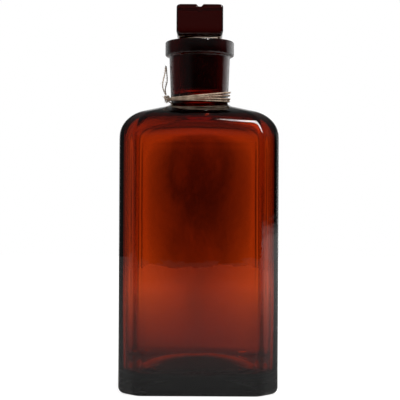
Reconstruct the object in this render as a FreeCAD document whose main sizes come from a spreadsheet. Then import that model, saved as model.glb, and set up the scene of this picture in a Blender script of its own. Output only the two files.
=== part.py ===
"""Square amber glass bottle with a ground glass stopper, tied at the neck with twine.

The bottle stands on Z = 0 with its axis on Z, its flat sides square to X and Y.
Millimetres. Every size is a cell of the sheet "sizes"; the rest follows from them.
"""
import FreeCAD
import Part
import Sketcher
import math
import os

from FreeCAD import Placement, Rotation, Vector

doc = FreeCAD.newDocument("square_bottle")

# ---------------------------------------------------------------- driving sizes
SIZES = {
    # glass body
    "body_width": 70.0,         # across the flat sides
    "corner_cut": 7.0,          # leg of the flat on each upright corner
    "heel_radius": 4.0,         # rounding between the sides and the underside
    "glass_wall": 3.0,
    "floor_height": 6.0,        # underside to the inner floor at its edge
    "floor_rise": 8.5,          # how far the inner floor humps up in the middle
    "inner_round": 5.0,         # rounding where the inner floor meets the wall
    "underside_rise": 4.0,      # hollow of the underside
    "underside_width": 50.0,    # across the hollow of the underside
    # shoulder
    "shoulder_radius": 12.5,
    "shoulder_slope": 17.0,     # degrees below level
    "corner_fade": 8.0,         # height over which the corner flats die out
    "neck_foot_height": 128.6,  # where the shoulder meets the neck
    # neck and lip
    "neck_foot_width": 26.2,
    "neck_top_width": 28.0,
    "neck_length": 22.5,
    "lip_width": 31.7,
    "lip_height": 6.8,
    "lip_round": 0.9,
    # ground joint
    "joint_width": 19.0,        # bore at the mouth
    "joint_length": 22.0,
    "joint_taper": 0.1,         # loss of diameter for each unit of length
    "joint_gap": 0.1,           # between the stopper and the bore, on the radius
    # stopper
    "foot_height": 1.6,         # round foot that shows between lip and head
    "head_width": 21.2,
    "head_height": 14.3,
    "head_edge": 0.7,           # bevel on the upright edges
    "head_top_bevel": 1.5,
    "head_foot_bevel": 0.9,     # inward leg of the bevel under the head
    "head_foot_rise": 2.0,      # upward leg of the same bevel
    "notch_width": 3.4,
    "notch_floor": 1.4,
    "notch_depth": 1.2,
    # twine
    "twine_width": 0.95,
    "loop_width": 0.6,
    "thread_width": 0.85,
    "twine_gap": 0.12,          # between a winding and the glass it is tied round
    "knot_reach": 3.2,          # out from the neck
    "knot_depth": 2.7,          # along the winding
    "knot_rise": 3.1,
}

sheet = doc.addObject("Spreadsheet::Sheet", "sizes")
for row, (alias, value) in enumerate(SIZES.items(), start=1):
    sheet.set(f"A{row}", alias)
    sheet.set(f"B{row}", str(value))
    sheet.setAlias(f"B{row}", alias)
doc.recompute()


def size(alias):
    """The sheet's present value for one named size."""
    return float(sheet.get(alias))


def bind(thing, **formulas):
    """Tie properties of a document object to formulas over the sheet's cells."""
    for prop, formula in formulas.items():
        thing.setExpression(prop.replace("__", "."), formula)


def with_cells(formula):
    """Put the sheet's name before each alias that stands in a formula."""
    for alias in sorted(SIZES, key=len, reverse=True):
        formula = formula.replace(f"<{alias}>", f"sizes.{alias}")
    return formula


# Heights that several pieces share, as formulas.
LIP_BASE = with_cells("(<neck_foot_height> + <neck_length>)")
LIP_TOP = with_cells("(<neck_foot_height> + <neck_length> + <lip_height>)")
JOINT_FOOT = with_cells("(<neck_foot_height> + <neck_length> + <lip_height> - <joint_length>)")
JOINT_MOUTH_RADIUS = with_cells("(<joint_width> / 2)")
JOINT_FOOT_RADIUS = with_cells("((<joint_width> - <joint_taper> * <joint_length>) / 2)")

lip_base = size("neck_foot_height") + size("neck_length")
lip_top = lip_base + size("lip_height")
throat_radius = (size("joint_width") - size("joint_taper") * size("joint_length")) / 2


# ---------------------------------------------------------------- sketch helpers
def origin_plane(body, role):
    """One of a body's own origin planes, such as XY_Plane."""
    return next(f for f in body.Origin.OriginFeatures if f.Role == role)


def new_sketch(body, name, role):
    """An empty sketch on one of the body's own planes."""
    sketch = body.newObject("Sketcher::SketchObject", name)
    sketch.AttachmentSupport = (origin_plane(body, role), [""])
    sketch.MapMode = "FlatFace"
    return sketch


def draw_outline(sketch, points):
    """Closed outline of straight lines; each line ends where the next one starts."""
    count = len(points)
    for i, point in enumerate(points):
        following = points[(i + 1) % count]
        sketch.addGeometry(Part.LineSegment(Vector(*point, 0), Vector(*following, 0)), False)
    for i in range(count):
        sketch.addConstraint(Sketcher.Constraint("Coincident", i, 2, (i + 1) % count, 1))


def pin_point(sketch, line, across, up):
    """Hold the start of a line at two formulas, across and up from the origin."""
    point = sketch.getPoint(line, 1)
    for kind, formula, now in (("DistanceX", across, point.x), ("DistanceY", up, point.y)):
        index = sketch.addConstraint(Sketcher.Constraint(kind, -1, 1, line, 1, now))
        sketch.setExpression(f"Constraints[{index}]", formula)


def cut_square_outline(sketch, half, cut, half_now, cut_now):
    """Square with cut corners, centred: half is half its width, cut each corner's leg."""
    inner_now = half_now - cut_now
    corners = [
        (half_now, -inner_now, 1, -1, True), (half_now, inner_now, 1, 1, True),
        (inner_now, half_now, 1, 1, False), (-inner_now, half_now, -1, 1, False),
        (-half_now, inner_now, -1, 1, True), (-half_now, -inner_now, -1, -1, True),
        (-inner_now, -half_now, -1, -1, False), (inner_now, -half_now, 1, -1, False),
    ]
    draw_outline(sketch, [(x, y) for x, y, *_ in corners])
    for line, (_, _, x_sign, y_sign, on_side) in enumerate(corners):
        full, short = f"({half})", f"(({half}) - ({cut}))"
        across, up = (full, short) if on_side else (short, full)
        pin_point(sketch, line, f"{x_sign} * {across}", f"{y_sign} * {up}")


def edges_where(shape, wanted):
    """Names of the edges whose bounding box passes the test."""
    return [f"Edge{i}" for i, edge in enumerate(shape.Edges, start=1) if wanted(edge.BoundBox)]


def dress(body, kind, name, base, edges, **formulas):
    """Fillet or chamfer some edges of a feature, with its sizes tied to the sheet."""
    feature = body.newObject(kind, name)
    feature.Base = (base, edges)
    bind(feature, **formulas)
    doc.recompute()
    return feature


# ---------------------------------------------------------------- glass: straight-sided part
def shoulder_arc_height(half, foot_radius, foot_height, radius):
    """Height at which the upright side starts to turn in to the shoulder."""
    slope = math.radians(size("shoulder_slope"))
    corner_height = foot_height - (half - foot_radius) * math.tan(slope)
    return corner_height - radius * math.tan((math.pi / 2 - slope) / 2)


outer_half = size("body_width") / 2
inner_half = outer_half - size("glass_wall")
outer_cut = size("corner_cut")
inner_cut = outer_cut - size("glass_wall") * (2 - math.sqrt(2))
arc_height = shoulder_arc_height(
    outer_half, size("neck_foot_width") / 2, size("neck_foot_height"), size("shoulder_radius"))
straight_top = arc_height - size("corner_fade")

OUTER_HALF = with_cells("<body_width> / 2")
INNER_HALF = with_cells("<body_width> / 2 - <glass_wall>")
OUTER_CUT = with_cells("<corner_cut>")
INNER_CUT = with_cells("<corner_cut> - <glass_wall> * (2 - sqrt(2))")
STRAIGHT_TOP = with_cells(
    "(<neck_foot_height> - (<body_width> - <neck_foot_width>) / 2 * tan(<shoulder_slope>)"
    " - <shoulder_radius> * tan((90 - <shoulder_slope>) / 2) - <corner_fade>)")


def straight_block(name, half, cut, half_now, cut_now, foot, foot_now, rounding):
    """Upright block with cut corners, rounded at its foot, up to where the corners fade."""
    body = doc.addObject("PartDesign::Body", name)
    sketch = new_sketch(body, f"{name}_plan", "XY_Plane")
    cut_square_outline(sketch, half, cut, half_now, cut_now)
    pad = body.newObject("PartDesign::Pad", f"{name}_pad")
    pad.Profile = sketch
    bind(pad, Length=f"{STRAIGHT_TOP} - ({foot})")
    doc.recompute()
    foot_edges = edges_where(pad.Shape, lambda box: box.ZMax < foot_now + 1e-6)
    dress(body, "PartDesign::Fillet", f"{name}_foot", pad, foot_edges, Radius=rounding)
    return body


glass_block = straight_block(
    "glass_block", OUTER_HALF, OUTER_CUT, outer_half, outer_cut, "0", 0.0,
    with_cells("<heel_radius>"))
hollow_block = straight_block(
    "hollow_block", INNER_HALF, INNER_CUT, inner_half, inner_cut,
    with_cells("<floor_height>"), 0.0, with_cells("<inner_round>"))
bind(hollow_block, Placement__Base__z=with_cells("<floor_height>"))


# ---------------------------------------------------------------- glass: shoulder
def ring(height, half, cut, roundness):
    """Wire of four sides and four corners, from a cut square (0) to a circle (1)."""
    turn = math.atan2(half - cut, half)

    def mixed(square, angle):
        circle = (half * math.cos(angle), half * math.sin(angle))
        return [a + (b - a) * roundness for a, b in zip(square, circle)]

    corner_start = mixed((half, half - cut), turn)
    corner_middle = mixed((half - cut / 2, half - cut / 2), math.pi / 4)
    corner_end = mixed((half - cut, half), math.pi / 2 - turn)
    edges = []
    for quarter in range(4):
        spin = Rotation(Vector(0, 0, 1), 90 * quarter)
        side = [Vector(corner_start[0], -corner_start[1], height),
                Vector(half, 0, height), Vector(*corner_start, height)]
        corner = [Vector(*corner_start, height), Vector(*corner_middle, height),
                  Vector(*corner_end, height)]
        for start, middle, end in (side, corner):
            start, middle, end = (spin.multVec(p) for p in (start, middle, end))
            straight = (middle - start).cross(end - start).Length < 1e-6
            curve = Part.LineSegment(start, end) if straight else Part.Arc(start, middle, end)
            edges.append(curve.toShape())
    return Part.Wire(edges)


def shoulder_solid(half, cut, foot_radius, foot_height, radius):
    """Rings from the cut square of the body to the round neck, joined by straight facets."""
    slope = math.radians(size("shoulder_slope"))
    centre_height = shoulder_arc_height(half, foot_radius, foot_height, radius)
    fade = size("corner_fade")
    stations = [(centre_height - fade, half), (centre_height - fade / 2, half),
                (centre_height, half)]
    arc_steps = 8
    for step in range(1, arc_steps + 1):
        angle = (math.pi / 2 - slope) * step / arc_steps
        stations.append((centre_height + radius * math.sin(angle),
                         half - radius + radius * math.cos(angle)))
    arc_end_height, arc_end_half = stations[-1]
    slope_steps = 3
    for step in range(1, slope_steps + 1):
        part = step / slope_steps
        stations.append((arc_end_height + (foot_height - arc_end_height) * part,
                         arc_end_half + (foot_radius - arc_end_half) * part))
    wires = []
    for height, reach in stations:
        risen = (height - stations[0][0]) / (foot_height - stations[0][0])
        drawn_in = (half - reach) / (half - foot_radius)
        roundness = min(1.0, 0.5 * risen ** 4 + 0.5 * drawn_in ** 3)
        wires.append(ring(height, reach, cut * reach / half, roundness))
    return Part.makeLoft(wires, True, True)


slope_angle = math.radians(size("shoulder_slope"))
hollow_foot_height = (
    size("neck_foot_height") + (size("neck_foot_width") / 2 - throat_radius) * math.tan(slope_angle)
    - size("glass_wall") / math.cos(slope_angle))

glass_shoulder = doc.addObject("Part::Feature", "glass_shoulder")
glass_shoulder.Shape = shoulder_solid(
    outer_half, outer_cut, size("neck_foot_width") / 2, size("neck_foot_height"),
    size("shoulder_radius"))
hollow_shoulder = doc.addObject("Part::Feature", "hollow_shoulder")
hollow_shoulder.Shape = shoulder_solid(
    inner_half, inner_cut, throat_radius, hollow_foot_height,
    size("shoulder_radius") - size("glass_wall"))


# ---------------------------------------------------------------- glass: neck, lip and bore
neck = doc.addObject("PartDesign::Body", "glass_neck")
neck_profile = new_sketch(neck, "neck_profile", "XZ_Plane")
foot_radius = size("neck_foot_width") / 2
root_height = size("neck_foot_height") - size("glass_wall")
draw_outline(neck_profile, [
    (0, root_height), (foot_radius, root_height),
    (foot_radius, size("neck_foot_height")), (size("neck_top_width") / 2, lip_base),
    (size("lip_width") / 2, lip_base), (size("lip_width") / 2, lip_top), (0, lip_top)])
ROOT = with_cells("(<neck_foot_height> - <glass_wall>)")
for line, (across, up) in enumerate([
        ("0", ROOT), ("<neck_foot_width> / 2", ROOT),
        ("<neck_foot_width> / 2", "<neck_foot_height>"), ("<neck_top_width> / 2", LIP_BASE),
        ("<lip_width> / 2", LIP_BASE), ("<lip_width> / 2", LIP_TOP), ("0", LIP_TOP)]):
    pin_point(neck_profile, line, with_cells(across), with_cells(up))
neck_turned = neck.newObject("PartDesign::Revolution", "neck_turned")
neck_turned.Profile = neck_profile
neck_turned.ReferenceAxis = (neck_profile, ["V_Axis"])
neck_turned.Angle = 360
doc.recompute()
lip_edges = edges_where(
    neck_turned.Shape,
    lambda box: box.XLength > size("lip_width") - 1e-3 and box.ZLength < 1e-3)
dress(neck, "PartDesign::Fillet", "lip_edges", neck_turned, lip_edges,
      Radius=with_cells("<lip_round>"))

joint_bore = doc.addObject("Part::Cone", "joint_bore")
bind(joint_bore, Radius1=JOINT_FOOT_RADIUS, Radius2=JOINT_MOUTH_RADIUS,
     Height=with_cells("<joint_length>"), Placement__Base__z=JOINT_FOOT)
THROAT_FOOT = with_cells(
    f"(<neck_foot_height> + (<neck_foot_width> / 2 - {JOINT_FOOT_RADIUS}) * tan(<shoulder_slope>)"
    " - <glass_wall> / cos(<shoulder_slope>) - <glass_wall> / 2)")
throat = doc.addObject("Part::Cylinder", "throat")
bind(throat, Radius=JOINT_FOOT_RADIUS, Height=f"{JOINT_FOOT} - {THROAT_FOOT}",
     Placement__Base__z=THROAT_FOOT)

# ---------------------------------------------------------------- glass: floor and underside
def dome_radius(rise, half):
    """Radius of the ball whose cap rises this far over this half width."""
    return f"(({half}) * ({half}) + ({rise}) * ({rise})) / (2 * ({rise}))"


floor_hump = doc.addObject("Part::Sphere", "floor_hump")
FLOOR_BALL = with_cells(dome_radius("<floor_rise>", "<body_width> / 2 - <glass_wall>"))
bind(floor_hump, Radius=FLOOR_BALL,
     Placement__Base__z=with_cells(f"<floor_height> + <floor_rise> - {FLOOR_BALL}"))
underside = doc.addObject("Part::Sphere", "underside")
UNDER_BALL = with_cells(dome_radius("<underside_rise>", "<underside_width> / 2"))
bind(underside, Radius=UNDER_BALL,
     Placement__Base__z=with_cells(f"<underside_rise> - {UNDER_BALL}"))


# ---------------------------------------------------------------- glass: the bottle
def fused(name, parts):
    """Union of several pieces."""
    union = doc.addObject("Part::MultiFuse", name)
    union.Shapes = parts
    return union


def cut_away(name, base, tool):
    """One piece with another taken out of it."""
    cut = doc.addObject("Part::Cut", name)
    cut.Base = base
    cut.Tool = tool
    return cut


glass_solid = fused("glass_solid", [glass_block, glass_shoulder, neck])
hollow_raw = fused("hollow_raw", [hollow_block, hollow_shoulder, throat, joint_bore])
hollow = cut_away("hollow", hollow_raw, floor_hump)
open_bottle = cut_away("open_bottle", glass_solid, hollow)
bottle = cut_away("bottle_glass", open_bottle, underside)
bottle.Label = "bottle"

# ---------------------------------------------------------------- stopper
HEAD_BASE = with_cells(f"({LIP_TOP} + <foot_height>)")
head = doc.addObject("PartDesign::Body", "stopper_head")


def head_square(name, half, half_now, height):
    """Centred square, level, at a height above the underside of the head."""
    sketch = new_sketch(head, name, "XY_Plane")
    sketch.setExpression("AttachmentOffset.Base.z", with_cells(height))
    signs = [(1, -1), (1, 1), (-1, 1), (-1, -1)]
    draw_outline(sketch, [(half_now * across, half_now * up) for across, up in signs])
    for line, (across, up) in enumerate(signs):
        pin_point(sketch, line, with_cells(f"{across} * ({half})"), with_cells(f"{up} * ({half})"))
    return sketch


half_head = size("head_width") / 2
head_under = head_square("head_under", "<head_width> / 2 - <head_foot_bevel>",
                         half_head - size("head_foot_bevel"), "0")
head_plan = head_square("head_plan", "<head_width> / 2", half_head, "<head_foot_rise>")
head_skirt = head.newObject("PartDesign::AdditiveLoft", "head_skirt")
head_skirt.Profile = head_under
head_skirt.Sections = [head_plan]
doc.recompute()
head_pad = head.newObject("PartDesign::Pad", "head_pad")
head_pad.Profile = head_plan
bind(head_pad, Length=with_cells("<head_height> - <head_foot_rise>"))
doc.recompute()
head_height = size("head_height")
head_top = dress(
    head, "PartDesign::Chamfer", "head_top", head_pad,
    edges_where(head_pad.Shape, lambda box: box.ZMin > head_height - 1e-6),
    Size=with_cells("<head_top_bevel>"))
head_edges = dress(
    head, "PartDesign::Chamfer", "head_edges", head_top,
    edges_where(head_top.Shape, lambda box: box.XLength + box.YLength < 1e-6),
    Size=with_cells("<head_edge>"))

notch_profile = new_sketch(head, "notch_profile", "XZ_Plane")
half_top, half_floor = size("notch_width") / 2, size("notch_floor") / 2
notch_base = head_height - size("notch_depth")
draw_outline(notch_profile, [
    (-half_top, head_height), (half_top, head_height), (half_floor, notch_base),
    (-half_floor, notch_base)])
NOTCH_BASE = "<head_height> - <notch_depth>"
for line, (across, up) in enumerate([
        ("-<notch_width> / 2", "<head_height>"), ("<notch_width> / 2", "<head_height>"),
        ("<notch_floor> / 2", NOTCH_BASE), ("-<notch_floor> / 2", NOTCH_BASE)]):
    pin_point(notch_profile, line, with_cells(across), with_cells(up))
notch = head.newObject("PartDesign::Pocket", "notch")
notch.Profile = notch_profile
notch.Type = "ThroughAll"
notch.Midplane = True
bind(head, Placement__Base__z=HEAD_BASE)

stopper_foot = doc.addObject("Part::Cylinder", "stopper_foot")
bind(stopper_foot, Radius=with_cells("<joint_width> / 2 - <joint_gap>"),
     Height=with_cells("<foot_height>"), Placement__Base__z=LIP_TOP)
plug = doc.addObject("Part::Cone", "stopper_plug")
bind(plug, Radius1=with_cells(f"{JOINT_FOOT_RADIUS} - <joint_gap>"),
     Radius2=with_cells("<joint_width> / 2 - <joint_gap>"),
     Height=with_cells("<joint_length>"), Placement__Base__z=JOINT_FOOT)
stopper = fused("stopper_glass", [head, stopper_foot, plug])
stopper.Label = "stopper"


# ---------------------------------------------------------------- twine round the neck
def neck_radius(height):
    """Outer radius of the neck at a height."""
    along = (height - size("neck_foot_height")) / size("neck_length")
    return (size("neck_foot_width") + (size("neck_top_width") - size("neck_foot_width")) * along) / 2


def winding(name, inside_radius, thickness, left, right, front, opening):
    """Tilted ring through three heights, open by an angle on the left for the knot.

    inside_radius gives, for a height, the radius that the ring's inner edge goes round.
    """
    middle = (left + right) / 2
    ends = (left, right, front, 2 * middle - front)
    radius = max(inside_radius(min(ends)), inside_radius(max(ends))) + size(thickness) / 2
    lean_side = math.atan2(right - left, 2 * radius)
    lean_front = math.atan2(middle - front, radius)
    torus = doc.addObject("Part::Torus", name)
    torus.Radius1 = radius / math.cos(lean_side) / math.cos(lean_front)
    bind(torus, Radius2=with_cells(f"<{thickness}> / 2"))
    torus.Angle3 = 360 - opening
    turn = Rotation(Vector(0, 1, 0), -math.degrees(lean_side))
    turn = turn.multiply(Rotation(Vector(1, 0, 0), math.degrees(lean_front)))
    turn = turn.multiply(Rotation(Vector(0, 0, 1), 180 + opening / 2))
    torus.Placement = Placement(Vector(0, 0, middle), turn)
    return torus


def round_neck(height):
    """Radius that a winding's inner edge keeps round the neck."""
    return neck_radius(height) + size("twine_gap")


def round_stopper_foot(height):
    """Radius that the thread's inner edge keeps round the stopper's straight foot."""
    return size("joint_width") / 2 - size("joint_gap") + size("twine_gap")


foot = size("neck_foot_height")
above_foot = {"upper": (4.1, 6.1, 3.4), "lower": (2.7, 2.9, 1.5)}   # left, right, front
upper_left, upper_right, upper_front = (foot + rise for rise in above_foot["upper"])
lower_left, lower_right, lower_front = (foot + rise for rise in above_foot["lower"])
knot_opening = 3.0      # degrees of each winding that the knot fills
upper_turn = winding("upper_turn", round_neck, "twine_width",
                     upper_left, upper_right, upper_front, knot_opening)
lower_turn = winding("lower_turn", round_neck, "twine_width",
                     lower_left, lower_right, lower_front, knot_opening)

knot = doc.addObject("Part::Ellipsoid", "knot_lump")
bind(knot, Radius1=with_cells("<knot_rise> / 2"), Radius2=with_cells("<knot_reach> / 2"),
     Radius3=with_cells("<knot_depth> / 2"))
knot_height = (upper_left + lower_left) / 2
knot_across = neck_radius(knot_height) + size("twine_gap") + size("knot_reach") / 2
knot.Placement = Placement(Vector(-knot_across, 0, knot_height), Rotation())
neck_twine = fused("neck_twine_tied", [upper_turn, lower_turn, knot])
neck_twine.Label = "neck_twine"


# ---------------------------------------------------------------- free loop above the knot
def tube(route, width):
    """Round tube along straight runs joined by tangent arcs at the inner points."""
    edges, cursor = [], route[0]
    for before, corner, after in zip(route, route[1:], route[2:]):
        come, leave = (corner - before), (after - corner)
        reach = 0.45 * min(come.Length, leave.Length)
        come, leave = come.normalize(), leave.normalize()
        half_turn = come.getAngle(leave) / 2
        radius = reach / math.tan(half_turn)
        bend_start, bend_end = corner - come * reach, corner + leave * reach
        inward = (leave - come).normalize()
        centre = corner + inward * (radius / math.cos(half_turn))
        bend_middle = centre - inward * radius
        edges.append(Part.LineSegment(cursor, bend_start).toShape())
        edges.append(Part.Arc(bend_start, bend_middle, bend_end).toShape())
        print(f"  bend of radius {radius:.2f} turning {math.degrees(2 * half_turn):.0f} degrees")
        cursor = bend_end
    edges.append(Part.LineSegment(cursor, route[-1]).toShape())
    path = Part.Wire(edges)
    section = Part.Wire(Part.makeCircle(width / 2, route[0], route[1] - route[0]))
    solid = path.makePipeShell([section], True, False)
    print(f"  length {path.Length:.2f}, volume {solid.Volume:.3f},"
          f" section times length {math.pi * width ** 2 / 4 * path.Length:.3f}")
    return solid


def beside_neck(out, forward, up):
    """Point beside the neck, measured from the middle of the knot."""
    return Vector(-knot_across - out, -forward, knot_height + up)


loop_route = [
    beside_neck(0.70, 0.60, 1.45), beside_neck(1.40, 1.60, 3.00), beside_neck(2.05, 2.45, 4.70),
    beside_neck(1.95, 2.95, 6.90), beside_neck(1.45, 3.00, 9.10), beside_neck(0.95, 2.75, 11.20),
    beside_neck(0.70, 2.35, 13.10), beside_neck(0.58, 1.10, 14.55),
    beside_neck(0.52, -0.50, 14.70), beside_neck(0.42, -1.85, 13.55),
    beside_neck(0.28, -2.35, 11.75), beside_neck(0.08, -2.50, 9.60),
    beside_neck(0.12, -2.40, 7.40), beside_neck(0.75, -2.05, 5.40),
    beside_neck(1.00, -1.45, 3.60), beside_neck(0.45, -0.60, 1.50)]
twine_loop = doc.addObject("Part::Feature", "twine_loop_tube")
twine_loop.Shape = tube(loop_route, size("loop_width"))
twine_loop.Label = "twine_loop"

# ---------------------------------------------------------------- thread at the stopper's foot
thread_rest = lip_top + size("thread_width") / 2 + size("twine_gap")
stopper_twine = winding(
    "stopper_twine_ring", round_stopper_foot, "thread_width",
    thread_rest + 0.15, thread_rest + 0.30, thread_rest, 0.0)
stopper_twine.Label = "stopper_twine"

# ---------------------------------------------------------------- check and write
doc.recompute()
failed = [thing.Name for thing in doc.Objects if {"Invalid", "Error"} & set(thing.State)]
if failed:
    raise RuntimeError(f"objects that could not be made: {failed}")

os.makedirs("parts", exist_ok=True)
for piece in (bottle, stopper, neck_twine, twine_loop, stopper_twine):
    shape = piece.Shape
    if shape.isNull() or not shape.isValid() or len(shape.Solids) != 1:
        raise RuntimeError(f"{piece.Label} is not one sound solid")
    shape.exportStep(f"parts/{piece.Label}.step")
    box = shape.BoundBox
    print(f"{piece.Label}: {shape.Volume:.1f} mm3, {box.XLength:.2f} x {box.YLength:.2f}"
          f" x {box.ZLength:.2f}, from Z {box.ZMin:.2f} to {box.ZMax:.2f}")
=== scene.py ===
# %% [markdown]
# # A square bottle of amber glass
# The bottle is blown glass: four flat sides with narrow cut corners, a low rounded
# shoulder and a short round neck. A solid glass stopper is ground into the neck, and
# coarse twine is tied round it. The solid model gives the places and sizes. This script
# makes the surfaces that the eye reads: uneven walls, twisted strands and dark glass.

# %% Load the solid model
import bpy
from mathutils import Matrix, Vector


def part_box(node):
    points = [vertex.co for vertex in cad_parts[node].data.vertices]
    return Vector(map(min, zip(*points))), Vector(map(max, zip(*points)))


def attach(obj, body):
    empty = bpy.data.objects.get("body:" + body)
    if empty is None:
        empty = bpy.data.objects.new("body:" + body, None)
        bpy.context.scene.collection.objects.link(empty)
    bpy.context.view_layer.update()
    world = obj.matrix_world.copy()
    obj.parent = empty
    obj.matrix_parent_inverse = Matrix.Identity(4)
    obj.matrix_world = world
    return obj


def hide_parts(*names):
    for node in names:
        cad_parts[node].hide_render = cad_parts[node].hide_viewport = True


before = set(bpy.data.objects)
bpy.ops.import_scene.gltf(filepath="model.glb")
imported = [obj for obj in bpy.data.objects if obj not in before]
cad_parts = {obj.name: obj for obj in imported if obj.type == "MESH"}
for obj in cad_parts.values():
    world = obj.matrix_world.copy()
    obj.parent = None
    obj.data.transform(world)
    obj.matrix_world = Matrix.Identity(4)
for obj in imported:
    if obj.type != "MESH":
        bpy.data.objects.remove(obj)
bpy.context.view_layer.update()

# %% Tools from Blender and Python
import math
import random

import bpy
import bmesh
from mathutils import Matrix, Vector, noise

MM = 0.001
glass_low, glass_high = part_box("bottle")
print("bottle glass is", round((glass_high.z - glass_low.z) / MM, 1), "mm tall")


# %% [markdown]
# ## Rings
# Bottle and stopper both go from a square with cut corners to a circle. A surface of
# rings does that in one piece: each ring has the same number of points, and only its
# height, its half width and its roundness change. The points lie closer together near
# the cut corners, where the surface turns quickly. A boolean of blocks would be exact
# too, but it gives ragged faces, and glass shows every one of them in its refraction.

# %% Where the points of a ring lie
EIGHTH = [0, 4, 8, 12, 16, 20, 24, 28, 31, 33.5, 35.2, 36.4, 37.2, 37.8, 38.3, 38.7,
          39.1, 39.6, 40.3, 41.2, 42.5, 43.8]


def ring_angles():
    """Angles of one ring, in radians, mirrored into all eight octants."""
    half_side = EIGHTH + [45] + [90 - a for a in reversed(EIGHTH[1:])]
    return [math.radians(90 * quarter + a) for quarter in range(4) for a in half_side]


ANGLES = ring_angles()
print(len(ANGLES), "points in a ring")


# %% Radius of a cut square at an angle
def from_side(angle):
    """Angle to the middle of the nearest side, which is never more than 45 degrees."""
    return abs((angle + math.pi / 4) % (math.pi / 2) - math.pi / 4)


def plan_radius(angle, half, cut, roundness, sharpness):
    """Distance from the axis to a square with cut corners, blended towards a circle."""
    side = math.cos(from_side(angle))
    corner = math.cos(math.pi / 4 - from_side(angle)) * math.sqrt(2) / (2 - cut / half)
    square = half * (side ** sharpness + corner ** sharpness) ** (-1 / sharpness)
    return square * (1 - roundness) + half * roundness


corner_reach = plan_radius(math.pi / 4, 35, 7, 0, 140)
print("a square 70 wide reaches", round(corner_reach, 2), "at its cut corner")


# %% Join rings into one closed surface
def mesh_object(name, mesh):
    """Turn a finished bmesh into an object of the scene."""
    data = bpy.data.meshes.new(name)
    mesh.to_mesh(data)
    mesh.free()
    piece = bpy.data.objects.new(name, data)
    bpy.context.scene.collection.objects.link(piece)
    return piece


def closed_surface(name, rings, first_height, last_height):
    """Mesh object from rings of points, closed at both ends by a point on the axis."""
    mesh = bmesh.new()
    first = mesh.verts.new((0, 0, first_height))
    last = mesh.verts.new((0, 0, last_height))
    loops = [[mesh.verts.new(point) for point in ring] for ring in rings]
    count = len(rings[0])
    for i in range(count):
        j = (i + 1) % count
        mesh.faces.new((first, loops[0][j], loops[0][i]))
        mesh.faces.new((last, loops[-1][i], loops[-1][j]))
        for below, above in zip(loops, loops[1:]):
            mesh.faces.new((below[i], below[j], above[j], above[i]))
    for face in mesh.faces:
        face.smooth = True
    return mesh_object(name, mesh)


print("two neighbouring rings are joined by", len(ANGLES), "faces")

# %% [markdown]
# ## The outside of the glass
# The profile starts at the hollow under the bottle and climbs the outside: heel, side,
# shoulder, neck and lip. Each station is a height, a half width and a roundness. On the
# shoulder the corner flats die out as the glass draws in. A bevelled block would give the
# sides as well, but not this slow change from square to round.

# %% Sizes of the glass, in metres
half_body = glass_high.y
lip_top = glass_high.z
corner_cut = 7.0 * MM
heel = 3.2 * MM
shoulder_bend = 12.5 * MM
shoulder_slope = math.radians(17)
corner_fade = 8.0 * MM
neck_foot = 128.6 * MM
neck_foot_radius = 13.1 * MM
lip_base = lip_top - 6.8 * MM
neck_top_radius = 14.0 * MM
lip_radius = 15.85 * MM
lip_round = 0.9 * MM
side_steps = 29
print("the lip is", round((lip_top - lip_base) / MM, 2), "mm high")

# %% Where the shoulder starts
sharp_shoulder = neck_foot - (half_body - neck_foot_radius) * math.tan(shoulder_slope)
bend_reach = math.tan((math.pi / 2 - shoulder_slope) / 2)
shoulder_start = sharp_shoulder - shoulder_bend * bend_reach
straight_top = shoulder_start - corner_fade
print("the shoulder starts to bend at", round(shoulder_start / MM, 1), "mm")


# %% Stations from the underside to the shoulder
def arc(centre_out, centre_up, radius, start, end, steps):
    """Points of an arc in the profile, as (height, half width), both ends included."""
    points = []
    for step in range(steps + 1):
        turn = math.radians(start + (end - start) * step / steps)
        points.append((centre_up + radius * math.sin(turn),
                       centre_out + radius * math.cos(turn)))
    return points


def how_round(height, half, low, high, widest, narrowest):
    """0 on straight walls, rising slowly at first to 1 at the neck."""
    risen = max(0.0, (height - low) / (high - low))
    drawn_in = (widest - half) / (widest - narrowest)
    return min(1.0, 0.5 * risen ** 4 + 0.5 * drawn_in ** 3)


def outside_roundness(height, half):
    """Roundness of the outside of the glass."""
    return how_round(height, half, straight_top, neck_foot, half_body, neck_foot_radius)


def dome_drop(half, rise, out):
    """How far a round dome of this half width and rise has fallen at a distance out."""
    ball = (half ** 2 + rise ** 2) / (2 * rise)
    return ball - math.sqrt(ball ** 2 - out ** 2)


outside = []
hollow_radius = 25.0 * MM
hollow_rise = 4.0 * MM
for part in (0.1, 0.25, 0.4, 0.55, 0.7, 0.82, 0.92, 0.98):
    out = hollow_radius * part
    drop = dome_drop(hollow_radius, hollow_rise, out)
    outside.append((hollow_rise - drop, out, 1.0))
standing_ring = [(0.03 * MM, 25.2 * MM, 1.0), (0.0, 25.8 * MM, 0.9), (0.0, 28.5 * MM, 0.45)]
outside += standing_ring
outside += [(h, w, 0.0) for h, w in arc(half_body - heel, heel, heel, -90, 0, 8)]
for step in range(1, side_steps + 1):
    height = heel + (straight_top - heel) * step / side_steps
    outside.append((height, half_body, 0.0))
for step in range(1, 6):
    height = straight_top + (shoulder_start - straight_top) * step / 5
    outside.append((height, half_body, outside_roundness(height, half_body)))
bend_end = 90 - math.degrees(shoulder_slope)
bend = arc(half_body - shoulder_bend, shoulder_start, shoulder_bend, 0, bend_end, 16)
outside += [(h, w, outside_roundness(h, w)) for h, w in bend[1:]]
print(len(outside), "stations up to the shoulder")


# %% Neck and lip
def neck_radius(height):
    """Outer radius of the neck at a height."""
    along = (height - neck_foot) / (lip_base - neck_foot)
    return neck_foot_radius + (neck_top_radius - neck_foot_radius) * along


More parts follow.
